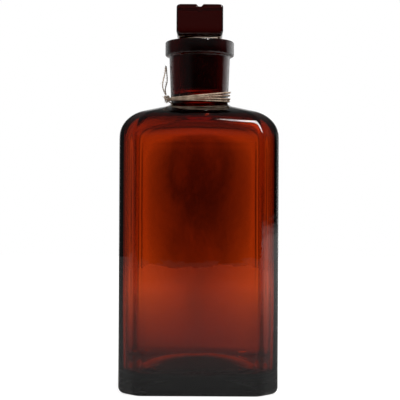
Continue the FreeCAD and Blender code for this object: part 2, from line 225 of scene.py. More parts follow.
slope_run = bend[-1][1] - neck_foot_radius
for part in (0.25, 0.5, 0.7, 0.84):
    width = bend[-1][1] - slope_run * part
    height = bend[-1][0] + slope_run * part * math.tan(shoulder_slope)
    outside.append((height, width, outside_roundness(height, width)))
neck_fillet = ((0.1, 0.9), (0.3, 0.45), (0.7, 0.15), (1.3, 0.0))
for rise, gain in neck_fillet:
    outside.append((neck_foot + rise * MM, neck_foot_radius + gain * MM, 1.0))
for step in range(1, 9):
    along = 0.06 + 0.92 * step / 8
    height = neck_foot + (lip_base - neck_foot) * along
    outside.append((height, neck_radius(height), 1.0))
outside.append((lip_base - 0.15 * MM, neck_top_radius + 0.02 * MM, 1.0))
outside.append((lip_base, neck_top_radius + 0.25 * MM, 1.0))
outside.append((lip_base, lip_radius - lip_round - 0.2 * MM, 1.0))
lower_edge = arc(lip_radius - lip_round, lip_base + lip_round, lip_round, -90, 0, 5)
upper_edge = arc(lip_radius - lip_round, lip_top - lip_round, lip_round, 0, 90, 5)
outside += [(h, w, 1.0) for h, w in lower_edge]
outside += [((lip_base + lip_top) / 2, lip_radius, 1.0)]
outside += [(h, w, 1.0) for h, w in upper_edge]
print(len(outside), "stations up to the lip")

# %% [markdown]
# ## The inside of the glass
# The inside of blown glass follows the mould loosely. The floor is thick and humps up in
# the middle, the walls are thickest in the middle of each side, and nothing is quite
# flat. An even offset of the outside would be quicker, but dark glass shows every change
# of thickness through its colour, so the inside has a profile of its own.

# %% Stations from the bore to the middle of the floor
joint_top_radius = 9.5 * MM
joint_foot_radius = 8.4 * MM
joint_foot = lip_top - 22.0 * MM
wall = 3.0 * MM
half_inside = half_body - wall
inner_bend = shoulder_bend - wall
inner_slope = math.radians(11)
inner_start = shoulder_start
throat_foot = (inner_start + inner_bend * math.tan((math.pi / 2 - inner_slope) / 2)
               + (half_inside - joint_foot_radius) * math.tan(inner_slope))
floor_height = 8.0 * MM
floor_rise = 5.2 * MM
inner_round = 4.5 * MM

inside = [(lip_top, joint_top_radius + 0.5 * MM, 1.0)]
inside.append((lip_top - 0.12 * MM, joint_top_radius + 0.12 * MM, 1.0))
inside.append((lip_top - 0.5 * MM, joint_top_radius - 0.03 * MM, 1.0))
for step in range(1, 7):
    along = step / 6
    height = lip_top + (joint_foot - lip_top) * along
    width = joint_top_radius + (joint_foot_radius - joint_top_radius) * along
    inside.append((height, width, 1.0))
throat_steps = ((9.0, 8.35), (6.5, 7.4), (3.5, 6.9), (1.6, 7.3), (0.5, 8.4))
for rise, width in throat_steps:
    inside.append((throat_foot + rise * MM, width * MM, 1.0))
inner_arc = arc(half_inside - inner_bend, inner_start, inner_bend,
                90 - math.degrees(inner_slope), 0, 14)


def inside_roundness(height, half):
    """Roundness of the inside of the glass."""
    return how_round(height, half, inner_start - corner_fade, throat_foot,
                     half_inside, joint_foot_radius)


for part in (0.35, 0.7):
    width = inside[-1][1] + (inner_arc[0][1] - inside[-1][1]) * part
    height = inside[-1][0] + (inner_arc[0][0] - inside[-1][0]) * part
    inside.append((height, width, inside_roundness(height, width)))
inside += [(h, w, inside_roundness(h, w)) for h, w in inner_arc]
floor_corner = floor_height + inner_round


def low_wall(height):
    """Change of the wall low down: thinner a third of the way up, thicker by the floor."""
    thinner = 0.28 * MM * math.exp(-((height - 42 * MM) / (17 * MM)) ** 2)
    thicker = 0.5 * MM * max(0.0, (40 * MM - height) / (26 * MM)) ** 1.7
    return thicker - thinner


for step in range(1, side_steps + 1):
    height = inner_start + (floor_corner - inner_start) * step / side_steps
    inside.append((height, half_inside - low_wall(height), 0.0))
floor_half = half_inside - low_wall(floor_corner) - inner_round
floor_bend = arc(floor_half, floor_corner, inner_round, 0, -82, 8)
inside += [(h, w, 0.0) for h, w in floor_bend[1:]]
for part in (0.97, 0.9, 0.8, 0.68, 0.55, 0.42, 0.28, 0.14):
    out = floor_half * part
    drop = dome_drop(floor_half, floor_rise, out)
    inside.append((floor_height + floor_rise - drop, out, 1.0 - 0.9 * part ** 3))
print(len(inside), "stations from the lip to the inner floor")


# %% Uneven blown walls
thick_middle = 0.45 * MM
inner_waver = 0.13 * MM
outer_waver = 0.05 * MM
inner_cut = 5.3 * MM
outer_sharpness = 80
inner_sharpness = 60
even_inside = 24 * MM
even_fade = 8 * MM
even_foot = 12 * MM


def waver(point, scale, seed):
    """Smooth value between about -1 and 1 that changes over a length of scale."""
    return noise.noise(point / scale + Vector((seed, 0.37 * seed, 1.9 * seed)))


def wall_change(angle):
    """How far the inner wall moves in: most in the middle of a side, least by a corner."""
    return math.cos(2.2 * from_side(angle)) * thick_middle


def ring_points(station, cut, sharpness, inner):
    """Points of one ring, with the small unevenness of blown glass."""
    height, half, roundness = station
    points = []
    for angle in ANGLES:
        out = plan_radius(angle, half, cut * half / half_body, roundness, sharpness)
        point = Vector((out * math.cos(angle), out * math.sin(angle), height))
        if inner:
            strength = (1 - roundness) * min(1, max(0, (half - even_inside) / even_fade))
            out -= wall_change(angle) * strength
            out += waver(point, 26 * MM, 3.1) * inner_waver * strength
        else:
            strength = (1 - roundness) * min(1, max(0, height / even_foot))
            out -= (0.5 + 0.5 * waver(point, 34 * MM, 8.2)) * outer_waver * strength
        points.append(Vector((out * math.cos(angle), out * math.sin(angle), height)))
    return points


outer_rings = [ring_points(s, corner_cut, outer_sharpness, False) for s in outside]
inner_rings = [ring_points(s, inner_cut, inner_sharpness, True) for s in inside]
bottle = closed_surface("bottle_glass", outer_rings + inner_rings, hollow_rise,
                        floor_height + floor_rise)
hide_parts("bottle")
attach(bottle, "root")
print("bottle glass:", len(bottle.data.polygons), "faces")

# %% [markdown]
# ## The stopper
# One lump of glass: a square head with soft bevels and a mould notch across its top,
# a short round foot, and a plug that is ground to fit the neck. It is made of rings
# as the bottle is, and only the notch is cut with a boolean.

# %% Rings of the stopper
stopper_low, stopper_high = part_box("stopper")
head_base = lip_top + 1.6 * MM
half_head = stopper_high.x
head_edge = 0.7 * MM
head_sharpness = 150
joint_gap = 0.1 * MM
plug_edge = 0.3 * MM
stopper_stations = [
    (stopper_low.z, joint_foot_radius - 1.5 * MM, 1.0),
    (stopper_low.z, joint_foot_radius - joint_gap - 0.4 * MM, 1.0),
    (stopper_low.z + plug_edge, joint_foot_radius - joint_gap - 0.05 * MM, 1.0)]
for step in range(1, 8):
    along = step / 7
    height = stopper_low.z + plug_edge + (lip_top - stopper_low.z - plug_edge) * along
    width = joint_foot_radius - joint_gap + (joint_top_radius - joint_foot_radius) * along
    stopper_stations.append((height, width, 1.0))
foot_radius = joint_top_radius - joint_gap
stopper_stations += [
    (lip_top + 0.6 * MM, foot_radius, 1.0),
    (head_base - 0.35 * MM, foot_radius, 1.0),
    (head_base - 0.1 * MM, foot_radius + 0.02 * MM, 0.8),
    (head_base, half_head - 0.9 * MM, 0.1),
    (head_base + 0.15 * MM, half_head - 0.8 * MM, 0.0),
    (head_base + 1.0 * MM, half_head - 0.42 * MM, 0.0),
    (head_base + 1.85 * MM, half_head - 0.06 * MM, 0.0),
    (head_base + 2.15 * MM, half_head, 0.0)]
for step in range(1, 7):
    stopper_stations.append((head_base + (2.15 + 10.0 * step / 6) * MM, half_head, 0.0))
head_top = stopper_high.z
top_round = 1.4 * MM
top_edge = arc(half_head - top_round, head_top - top_round, top_round, 0, 90, 6)
stopper_stations += [(h, w, 0.0) for h, w in top_edge]
stopper_stations += [(head_top, half_head * part, 0.0) for part in (0.8, 0.6, 0.4, 0.2)]
print(len(stopper_stations), "stations on the stopper")


# %% Rings and notch of the stopper
HEAD_QUARTER = [0, 6, 12, 18, 24, 30, 35, 38, 40, 41.2, 42, 42.6, 43.1, 43.6, 44.2, 44.7,
                45.3, 45.8, 46.4, 46.9, 47.4, 48, 48.8, 50, 52, 55, 60, 66, 72, 78, 84]
HEAD_ANGLES = [math.radians(90 * quarter + a) for quarter in range(4) for a in HEAD_QUARTER]
BEVEL_SHARE = 0.4


def square_ring(station, cut, sharpness):
    """Points of one stopper ring. The bevels of its front and back are narrower."""
    height, half, roundness = station
    near_top = height > head_top - 1.5 * MM and half > half_head * 0.85
    near_foot = head_base + 0.05 * MM < height < head_base + 2.5 * MM
    deep = 1.0
    if near_top or near_foot:
        deep = (half_head - BEVEL_SHARE * (half_head - half)) / half
    points = []
    for angle in HEAD_ANGLES:
        out = plan_radius(angle, half, cut, roundness, sharpness)
        points.append(Vector((out * math.cos(angle), deep * out * math.sin(angle), height)))
    return points


def notch_cutter():
    """Wedge that lies across the top of the head, from front to back."""
    top = 1.9 * MM
    floor = 0.7 * MM
    depth = 1.2 * MM
    reach = half_head * 1.2
    corners = [(-top, 0.25 * MM), (top, 0.25 * MM), (floor, -depth), (-floor, -depth)]
    mesh = bmesh.new()
    front = [mesh.verts.new((x, -reach, head_top + z)) for x, z in corners]
    back = [mesh.verts.new((x, reach, head_top + z)) for x, z in corners]
    mesh.faces.new(front)
    mesh.faces.new(list(reversed(back)))
    for i in range(4):
        j = (i + 1) % 4
        mesh.faces.new((front[j], front[i], back[i], back[j]))
    bmesh.ops.recalc_face_normals(mesh, faces=mesh.faces)
    return mesh_object("notch_cutter", mesh)


print(len(HEAD_ANGLES), "points in a ring of the stopper")

# %% Build the stopper and cut its notch
stopper_rings = [square_ring(s, head_edge, head_sharpness) for s in stopper_stations]
stopper = closed_surface("stopper_glass", stopper_rings, stopper_low.z, head_top)
cutter = notch_cutter()
cut = stopper.modifiers.new("notch", "BOOLEAN")
cut.operation = "DIFFERENCE"
cut.object = cutter
bpy.context.view_layer.update()
finished = bpy.data.meshes.new_from_object(
    stopper.evaluated_get(bpy.context.evaluated_depsgraph_get()))
stopper.modifiers.clear()
stopper.data = finished
bpy.data.objects.remove(cutter)
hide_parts("stopper")
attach(stopper, "root")
print("stopper:", len(stopper.data.polygons), "faces")

# %% [markdown]
# ## Twine
# Twine is two thinner yarns twisted round each other. Each yarn is a thin tube that
# winds round the middle line of the strand. That gives the slanting grooves and the
# knobbly outline for free, which a bump on one smooth tube can't.


# %% A strand of twisted yarns
YARNS = 2
YARN_SIDES = 7
YARN_SHARE = 0.58
YARN_SWELL = 0.10


def frames_along(points):
    """Middle line with two directions square to it at each point, without sudden turns."""
    side = Vector((0, 0, 1))
    made = []
    for i, point in enumerate(points):
        ahead = points[min(i + 1, len(points) - 1)] - points[max(i - 1, 0)]
        ahead.normalize()
        side = (side - ahead * side.dot(ahead)).normalized()
        made.append((point, side, ahead.cross(side)))
    return made


def yarn_tubes(mesh, points, strand_radius, twist_length, seed, closed=False):
    """Add the yarns of one strand to a bmesh. Each yarn swells and thins a little."""
    rows = frames_along(points)
    lengths = [0.0]
    for before, after in zip(points, points[1:]):
        lengths.append(lengths[-1] + (after - before).length)
    turns = lengths[-1] / twist_length
    if closed:
        turns = round(turns * YARNS) / YARNS
    yarn_radius = strand_radius * YARN_SHARE
    offset = strand_radius - yarn_radius
    for yarn in range(YARNS):
        loops = []
        for (point, side, up), run in zip(rows, lengths):
            turn = 2 * math.pi * (turns * run / lengths[-1] + yarn / YARNS)
            lump = noise.noise(Vector((run / (1.7 * MM), seed, yarn * 5.3)))
            swell = 1 + YARN_SWELL * lump
            centre = point + (side * math.cos(turn) + up * math.sin(turn)) * offset * swell
            loop = []
            for k in range(YARN_SIDES):
                around = 2 * math.pi * k / YARN_SIDES
                out = side * math.cos(around) + up * math.sin(around)
                loop.append(mesh.verts.new(centre + out * yarn_radius * swell))
            loops.append(loop)
        for below, above in zip(loops, loops[1:]):
            for k in range(YARN_SIDES):
                m = (k + 1) % YARN_SIDES
                mesh.faces.new((below[k], below[m], above[m], above[k]))
        if not closed:
            mesh.faces.new(list(reversed(loops[0])))
            mesh.faces.new(loops[-1])


def strand_object(name, build):
    """Mesh object whose bmesh is filled by build(mesh)."""
    mesh = bmesh.new()
    build(mesh)
    bmesh.ops.recalc_face_normals(mesh, faces=mesh.faces)
    for face in mesh.faces:
        face.smooth = True
    return mesh_object(name, mesh)


print("a yarn has", YARN_SHARE, "of its strand's radius and", YARN_SIDES, "sides")

# %% [markdown]
# ## Windings and knot
# The twine is doubled and goes round the neck twice, a little above the shoulder. It is
# tied on the left in an overhand knot, and its end hangs down from there. The turns slant
# differently, as they do when they are pulled tight by hand, so each has a middle line of
# its own. Rings would be simpler, but rings look like a machined part.

# %% Middle lines of the two turns
twine_radius = 0.86 / 2 * MM


def turn_round_neck(left, right, front, clearance, seed, points=260):
    """Points round the neck. The height goes through three given heights, in millimetres."""
    middle = (left + right) / 2
    line = []
    for i in range(points + 1):
        angle = math.pi + 2 * math.pi * i / points
        height = middle + (right - left) / 2 * math.cos(angle)
        height -= (front - middle) * math.sin(angle)
        height += 0.12 * noise.noise(Vector((math.cos(angle), math.sin(angle), seed)) * 2.2)
        out = neck_radius(height * MM) + clearance * MM + twine_radius
        line.append(Vector((out * math.cos(angle), out * math.sin(angle), height * MM)))
    return line


upper_turn = turn_round_neck(left=131.9, right=134.7, front=132.1, clearance=0.22, seed=4.0)
upper_second = turn_round_neck(left=131.7, right=133.3, front=131.4, clearance=0.14, seed=6.5)
lower_turn = turn_round_neck(left=131.4, right=131.5, front=130.7, clearance=0.20, seed=9.0)
lower_second = turn_round_neck(left=131.1, right=130.5, front=129.9, clearance=0.14, seed=12.5)


def line_length(points):
    """Length of a line through points."""
    return sum((after - before).length for before, after in zip(points, points[1:]))


print("a turn is", round(line_length(upper_turn) / MM, 1), "mm long")

# %% The knot and its tail
knot_middle = Vector((-14.956 * MM, 0, 132.0 * MM))


def knot_line(points=120):
    """A small overhand knot, drawn as a trefoil."""
    line = []
    for i in range(points + 1):
        t = 2 * math.pi * i / points
        line.append(knot_middle + Vector((
            0.38 * (math.sin(t) + 2 * math.sin(2 * t)) - 0.15,
            0.55 * math.sin(3 * t),
            0.52 * (math.cos(t) - 2 * math.cos(2 * t)) - 0.2)) * MM)
    return line


def smooth_line(name, points):
    """Points along a NURBS line that has the given points as its control points."""
    curve = bpy.data.curves.new(name, "CURVE")
    curve.dimensions = "3D"
    curve.resolution_u = 12
    spline = curve.splines.new("NURBS")
    spline.points.add(len(points) - 1)
    for control, point in zip(spline.points, points):
        control.co = (*point, 1)
    spline.order_u = 3
    spline.use_endpoint_u = True
    holder = bpy.data.objects.new(name, curve)
    line = bpy.data.meshes.new_from_object(holder)
    found = [corner.co.copy() for corner in line.vertices]
    bpy.data.objects.remove(holder)
    bpy.data.curves.remove(curve)
    bpy.data.meshes.remove(line)
    return found


tail_steps = [(0.6, -0.9, 0.2), (0.4, -1.7, -0.9), (1.2, -2.6, -2.0), (2.3, -3.4, -2.7),
              (3.3, -4.2, -3.3)]
tail_line = smooth_line("tail_line", [knot_middle + Vector(p) * MM for p in tail_steps])


def build_neck_twine(mesh):
    """All strands that are tied round the neck."""
    yarn_tubes(mesh, upper_turn, twine_radius, 3.4 * MM, 1.0)
    yarn_tubes(mesh, upper_second, twine_radius * 0.92, 3.0 * MM, 1.5)
    yarn_tubes(mesh, lower_turn, twine_radius, 3.1 * MM, 2.0)
    yarn_tubes(mesh, lower_second, twine_radius * 0.88, 2.8 * MM, 2.5)
    yarn_tubes(mesh, knot_line(), twine_radius * 0.86, 2.6 * MM, 3.0)
    yarn_tubes(mesh, tail_line, twine_radius * 0.75, 2.4 * MM, 4.0)


neck_twine = strand_object("neck_twine_strands", build_neck_twine)
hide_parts("neck_twine")
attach(neck_twine, "root")
print("neck twine:", len(neck_twine.data.polygons), "faces")

# %% [markdown]
# ## The free loop
# One thin strand leaves the knot, rises beside the neck and comes back down. The twine is
# limp, but a loop as short as this stands up from its knot. A row of straight pieces
# would look like bent wire, so the line is a smooth NURBS spline. Its control points are
# the points of the solid model's tube, and two yarns follow it.

# %% Loop beside the neck
loop_width = 0.6 * MM
loop_steps = [
    (0.70, 0.60, 1.45), (1.40, 1.60, 3.00), (2.05, 2.45, 4.70), (1.95, 2.95, 6.90),
    (1.45, 3.00, 9.10), (0.95, 2.75, 11.20), (0.70, 2.35, 13.10), (0.58, 1.10, 14.55),
    (0.52, -0.50, 14.70), (0.42, -1.85, 13.55), (0.28, -2.35, 11.75), (0.08, -2.50, 9.60),
    (0.12, -2.40, 7.40), (0.75, -2.05, 5.40), (1.00, -1.45, 3.60), (0.45, -0.60, 1.50)]
loop_route = [knot_middle + Vector((-out, -forward, up)) * MM
              for out, forward, up in loop_steps]
loop_line = smooth_line("loop_line", loop_route)


def build_loop(mesh):
    """The one thin strand of the loop."""
    yarn_tubes(mesh, loop_line, loop_width / 2, 2.2 * MM, 6.0)


twine_loop = strand_object("twine_loop_strand", build_loop)
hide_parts("twine_loop")
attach(twine_loop, "root")

# %% [markdown]
# ## The thread under the stopper
# A paler thread lies round the stopper's foot and keeps it from seizing in the neck. Its
# end sticks out on the lip at the front. It is made of yarns as the twine is: a torus
# would have neither the twist nor the loose end.

# %% Thread round the foot of the stopper
thread_low, thread_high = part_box("stopper_twine")
thread_radius = 0.85 / 2 * MM
thread_ring_radius = thread_high.x - thread_radius
thread_rest = thread_low.z + thread_radius


def thread_line(points=220):
    """Closed ring round the stopper's foot, higher at the back and on the right."""
    line = []
    for i in range(points + 1):
        angle = 2 * math.pi * (i % points) / points
        height = thread_rest + (0.22 + 0.08 * math.cos(angle) + 0.2 * math.sin(angle)) * MM
        out = Vector((math.cos(angle), math.sin(angle), 0)) * thread_ring_radius
        line.append(out + Vector((0, 0, height)))
    return line


thread_steps = [(1.5, -10.4, 158.5), (3.4, -11.2, 158.42), (5.6, -11.9, 158.3),
                (8.0, -12.3, 158.2)]
thread_tail = smooth_line("thread_tail", [Vector(p) * MM for p in thread_steps])


def build_thread(mesh):
    """The ring and the tail of the thread."""
    yarn_tubes(mesh, thread_line(), thread_radius, 2.0 * MM, 7.0, closed=True)
    yarn_tubes(mesh, thread_tail, thread_radius * 0.6, 1.6 * MM, 8.0)


stopper_thread = strand_object("stopper_thread", build_thread)
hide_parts("stopper_twine")
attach(stopper_thread, "root")
print("thread:", len(stopper_thread.data.polygons), "faces")

# %% [markdown]
# ## Loose fibres
# Coarse twine is hairy. Fine stray fibres break up its outline, most of all at the
# knot, along the loop and at the cut end. They are drawn as thin tapering splines of one
# curve, which is then turned into a mesh, so that its size can be measured exactly.


# %% Fibres that stand off the twine
def fibre_mesh(name, lines, seed, thickness, spread):
    """One mesh of short tapering fibres. Each line comes with a count, radius and length."""
    chance = random.Random(seed)
    curve = bpy.data.curves.new(name, "CURVE")
    curve.dimensions = "3D"
    curve.bevel_depth = thickness
    curve.bevel_resolution = 1
    curve.resolution_u = 4
    for line, count, radius, length in lines:
        for _ in range(count):
            start = chance.choice(line)
            away = Vector([chance.gauss(0, 1) for _ in range(3)]).normalized()
            outward = Vector((start.x, start.y, 0)).normalized()
            if away.dot(outward) < 0:
                away -= outward * 2 * away.dot(outward)
            bend = Vector([chance.gauss(0, 1) for _ in range(3)]) * spread
            reach = length * chance.uniform(0.35, 1.0)
            spline = curve.splines.new("NURBS")
            spline.points.add(3)
            for step, spot in enumerate(spline.points):
                part = step / 3
                place = start + away * (radius * 0.8 + reach * part) + bend * reach * part ** 2
                spot.co = (*place, 1)
                spot.radius = 1 - 0.6 * part
            spline.order_u = 3
            spline.use_endpoint_u = True
    drawn = bpy.data.objects.new(name + "_lines", curve)
    bpy.context.scene.collection.objects.link(drawn)
    bpy.context.view_layer.update()
    data = bpy.data.meshes.new_from_object(
        drawn.evaluated_get(bpy.context.evaluated_depsgraph_get()))
    bpy.data.objects.remove(drawn)
    piece = bpy.data.objects.new(name, data)
    bpy.context.scene.collection.objects.link(piece)
    return piece


hairy_lines = [
    (upper_turn, 90, twine_radius, 0.9 * MM),
    (lower_turn, 80, twine_radius, 0.9 * MM),
    (knot_line(), 60, twine_radius, 1.1 * MM),
    (tail_line, 26, twine_radius * 0.7, 1.1 * MM),
    (loop_line, 70, loop_width / 2, 1.0 * MM)]
fluff = fibre_mesh("twine_fibres", hairy_lines, seed=5, thickness=0.045 * MM, spread=0.35)
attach(fluff, "root")
print("fibres:", len(fluff.data.polygons), "faces")

# %% [markdown]
# ## Nodes that come again and again
# Glass, twine and table each have a material, which is a tree of nodes. Most steps in it
# are one of three kinds: a sum on numbers, a value spread over a new range, and a mix of
# two values. Setting up each node by hand would hide the idea behind rows of sockets, so
# small helpers place them. An input of a helper is either a plain number or the output of
# an earlier node.


# %% Helpers for node trees
def feed(tree, socket, value):
    """Set a socket to a plain number, or link it to an earlier node's output."""
    if isinstance(value, (int, float)):
        socket.default_value = value
    else:
        tree.links.new(value, socket)


def arithmetic(tree, operation, first, second=None):
    """Output of a Math node. Some operations need only the first value."""
    node = tree.nodes.new("ShaderNodeMath")
    node.operation = operation
    feed(tree, node.inputs[0], first)
    if second is not None:
        feed(tree, node.inputs[1], second)
    return node.outputs["Value"]


def ramp(tree, value, start, end, low=0.0, high=1.0, smooth=False):
    """Output that goes from low to high while value goes from start to end."""
    node = tree.nodes.new("ShaderNodeMapRange")
    if smooth:
        node.interpolation_type = "SMOOTHSTEP"
    given = (("Value", value), ("From Min", start), ("From Max", end),
             ("To Min", low), ("To Max", high))
    for label, number in given:
        feed(tree, node.inputs[label], number)
    return node.outputs["Result"]


def choose(tree, factor, off, on):
    """Number that is off where the factor is 0 and on where it is 1."""
    node = tree.nodes.new("ShaderNodeMix")
    feed(tree, node.inputs["Factor"], factor)
    feed(tree, node.inputs["A"], off)
    feed(tree, node.inputs["B"], on)
    return node.outputs["Result"]


def mix_tones(tree, factor, first, second):
    """Colour between two tones, each an RGB triple or another node's colour."""
    node = tree.nodes.new("ShaderNodeMix")
    node.data_type = "RGBA"
    tree.links.new(factor, node.inputs["Factor"])
    for label, tone in (("A", first), ("B", second)):
        if isinstance(tone, tuple):
            node.inputs[label].default_value = (*tone, 1)
        else:
            tree.links.new(tone, node.inputs[label])
    return node.outputs["Result"]


def object_place(tree):
    """Place on the object, as a vector and as its three parts."""
    place = tree.nodes.new("ShaderNodeTexCoord").outputs["Object"]
    split = tree.nodes.new("ShaderNodeSeparateXYZ")
    tree.links.new(place, split.inputs["Vector"])
    return place, split.outputs


def distance_from_zero(tree, vector):
    """Length of a vector."""
    node = tree.nodes.new("ShaderNodeVectorMath")
    node.operation = "LENGTH"
    tree.links.new(vector, node.inputs[0])
    return node.outputs["Value"]


def add_bump(tree, shader, height, strength, distance):
    """Let a height disturb the shader's normal."""
    bump = tree.nodes.new("ShaderNodeBump")
    bump.inputs["Strength"].default_value = strength
    bump.inputs["Distance"].default_value = distance
    tree.links.new(height, bump.inputs["Height"])
    tree.links.new(bump.outputs["Normal"], shader.inputs["Normal"])


print("helpers place single nodes, which the materials below put together")


# %% Helpers for groups and materials
def new_group(name, given, made):
    """Empty node group with inputs and outputs, each a dictionary of name and kind."""
    tree = bpy.data.node_groups.new(name, "ShaderNodeTree")
    for way, sockets in (("INPUT", given), ("OUTPUT", made)):
        for label, kind in sockets.items():
            tree.interface.new_socket(label, in_out=way, socket_type="NodeSocket" + kind)
    group_input = tree.nodes.new("NodeGroupInput")
    group_output = tree.nodes.new("NodeGroupOutput")
    return tree, group_input.outputs, group_output.inputs


def place_group(tree, group, values):
    """Node group in a tree, with its own plain values."""
    node = tree.nodes.new("ShaderNodeGroup")
    node.node_tree = group
    for label, value in values.items():
        node.inputs[label].default_value = value
    return node


def new_material(name):
    """Material, its node tree and its Principled shader."""
    material = bpy.data.materials.new(name)
    material.use_nodes = True
    return material, material.node_tree, material.node_tree.nodes["Principled BSDF"]


def give_finish(piece, material):
    """Make this the only material of a piece."""
    piece.data.materials.clear()
    piece.data.materials.append(material)


print("helpers make groups and materials, and give a piece its finish")

# %% [markdown]
# ## Amber glass
# Colour in glass comes from its depth, so the surface shader stays clear and the colour
# sits in a Volume Absorption node. Red passes best, green poorly and blue hardly at all:
# a wall looks orange brown, two walls deep amber and the solid base almost black. Where
# the stopper is ground to fit the neck the glass is matt and grey, so a group marks that
# place for the materials of both pieces.


# %% Where the joint is ground
def ground_joint_group():
    """1 on the ground faces of the joint, 0 on polished glass, from object coordinates."""
    tree, given, made = new_group(
        "ground joint",
        {"Foot Height": "Float", "Mouth Height": "Float", "Outer Radius": "Float"},
        {"Ground": "Float"})
    axis = object_place(tree)[1]
    flat = tree.nodes.new("ShaderNodeCombineXYZ")
    tree.links.new(axis["X"], flat.inputs["X"])
    tree.links.new(axis["Y"], flat.inputs["Y"])
    radius = distance_from_zero(tree, flat.outputs["Vector"])
    above = arithmetic(tree, "GREATER_THAN", axis["Z"], given["Foot Height"])
    below = arithmetic(tree, "LESS_THAN", axis["Z"], given["Mouth Height"])
    within = arithmetic(tree, "LESS_THAN", radius, given["Outer Radius"])
    both = arithmetic(tree, "MULTIPLY", above, below)
    tree.links.new(arithmetic(tree, "MULTIPLY", both, within), made["Ground"])
    return tree


ground_joint = ground_joint_group()
print("ground joint group has", len(ground_joint.nodes), "nodes")


# %% Glass materials
GROUND_ROUGHNESS = 0.45
GROUND_TONE = (0.30, 0.27, 0.25)


def amber_glass(name, green, density):
    """Clear surface, ground in the joint, over glass whose colour grows with depth."""
    material, tree, shader = new_material(name)
    shader.inputs["Base Color"].default_value = (1, 1, 1, 1)
    shader.inputs["IOR"].default_value = 1.52
    shader.inputs["Transmission Weight"].default_value = 1.0
    depth = tree.nodes.new("ShaderNodeVolumeAbsorption")
    depth.inputs["Color"].default_value = (0.83, green, 0.05, 1)
    depth.inputs["Density"].default_value = density
    tree.links.new(depth.outputs["Volume"], tree.nodes["Material Output"].inputs["Volume"])
    joint = place_group(tree, ground_joint, {
        "Foot Height": joint_foot - 0.2 * MM,
        "Mouth Height": lip_top - 0.2 * MM,
        "Outer Radius": joint_top_radius + 0.3 * MM})
    ground = joint.outputs["Ground"]
    feed(tree, shader.inputs["Roughness"], ramp(tree, ground, 0.0, 1.0, 0.0, GROUND_ROUGHNESS))
    tone = mix_tones(tree, ground, (1.0, 1.0, 1.0), GROUND_TONE)
    tree.links.new(tone, shader.inputs["Base Color"])
    place = tree.nodes.new("ShaderNodeTexCoord")
    ripple = tree.nodes.new("ShaderNodeTexNoise")
    ripple.inputs["Scale"].default_value = 75
    ripple.inputs["Detail"].default_value = 3
    ripple.inputs["Roughness"].default_value = 0.4
    tree.links.new(place.outputs["Object"], ripple.inputs["Vector"])
    add_bump(tree, shader, ripple.outputs["Fac"], 0.17, 0.4 * MM)
    return material


bottle_glass = amber_glass("amber bottle glass", green=0.46, density=1150)
stopper_glass = amber_glass("amber stopper glass", green=0.64, density=1050)
give_finish(bottle, bottle_glass)
give_finish(stopper, stopper_glass)
print("glass materials:", bottle_glass.name, "and", stopper_glass.name)

# %% [markdown]
# ## Twine colours
# Jute is a dull straw brown, with darker streaks and blotches at random. The stopper's
# thread is bleached cotton. Both use one group of nodes that mixes a light and a dark
# tone with fine streaks, placed with its own values.


# %% A node group for spun fibre
def spun_fibre_group():
    """Colour and height of spun fibre from object coordinates."""
    tree, given, made = new_group(
        "spun fibre",
        {"Light Tone": "Color", "Dark Tone": "Color", "Streak Scale": "Float"},
        {"Color": "Color", "Height": "Float"})
    place = tree.nodes.new("ShaderNodeTexCoord").outputs["Object"]
    streak = tree.nodes.new("ShaderNodeTexNoise")
    streak.inputs["Detail"].default_value = 4
    streak.inputs["Roughness"].default_value = 0.7
    tree.links.new(place, streak.inputs["Vector"])
    tree.links.new(given["Streak Scale"], streak.inputs["Scale"])
    blotch = tree.nodes.new("ShaderNodeTexNoise")
    blotch.inputs["Scale"].default_value = 260
    tree.links.new(place, blotch.inputs["Vector"])
    blotches = arithmetic(tree, "MULTIPLY", blotch.outputs["Fac"], 0.6)
    streaks = arithmetic(tree, "MULTIPLY", streak.outputs["Fac"], 0.5)
    lightness = ramp(tree, arithmetic(tree, "ADD", blotches, streaks), 0.40, 0.66)
    tone = mix_tones(tree, lightness, given["Dark Tone"], given["Light Tone"])
    tree.links.new(tone, made["Color"])
    tree.links.new(streak.outputs["Fac"], made["Height"])
    return tree


spun_fibre = spun_fibre_group()
print("spun fibre group has", len(spun_fibre.nodes), "nodes")


# %% Twine and thread materials
def fibre_material(name, light, dark):
    """Rough fibre with the group's colour and a fine bump."""
    material, tree, shader = new_material(name)
    shader.inputs["Roughness"].default_value = 0.85
    shader.inputs["Specular IOR Level"].default_value = 0.2
    fibre = place_group(tree, spun_fibre, {
        "Light Tone": (*light, 1), "Dark Tone": (*dark, 1), "Streak Scale": 1900})
    tree.links.new(fibre.outputs["Color"], shader.inputs["Base Color"])
    add_bump(tree, shader, fibre.outputs["Height"], 0.6, 0.1 * MM)
    return material


jute = fibre_material("jute twine", (0.56, 0.43, 0.32), (0.13, 0.080, 0.050))
cotton = fibre_material("cotton thread", (0.74, 0.65, 0.54), (0.34, 0.26, 0.20))
for piece in (neck_twine, twine_loop, fluff):
    give_finish(piece, jute)
give_finish(stopper_thread, cotton)
print("fibre materials:", jute.name, "and", cotton.name)

# %% [markdown]
# ## Light behind the glass
# Dark glass shows mostly what lies behind it, so the studio is planned for that: the
# light that passes through the walls is strongest at the sides and weaker straight
# ahead. A lit card behind the bottle would do it for one view only. A rule on the
# direction of the light gives the same to all four sides, and one group holds it for
# the wall and for the table.


# %% Light that comes through the glass
SIDE_WIDTH = 0.035
LEVEL_CLIMB = 0.008
CLIMB_WIDTH = 0.075
CLIMB_GAIN = 0.6


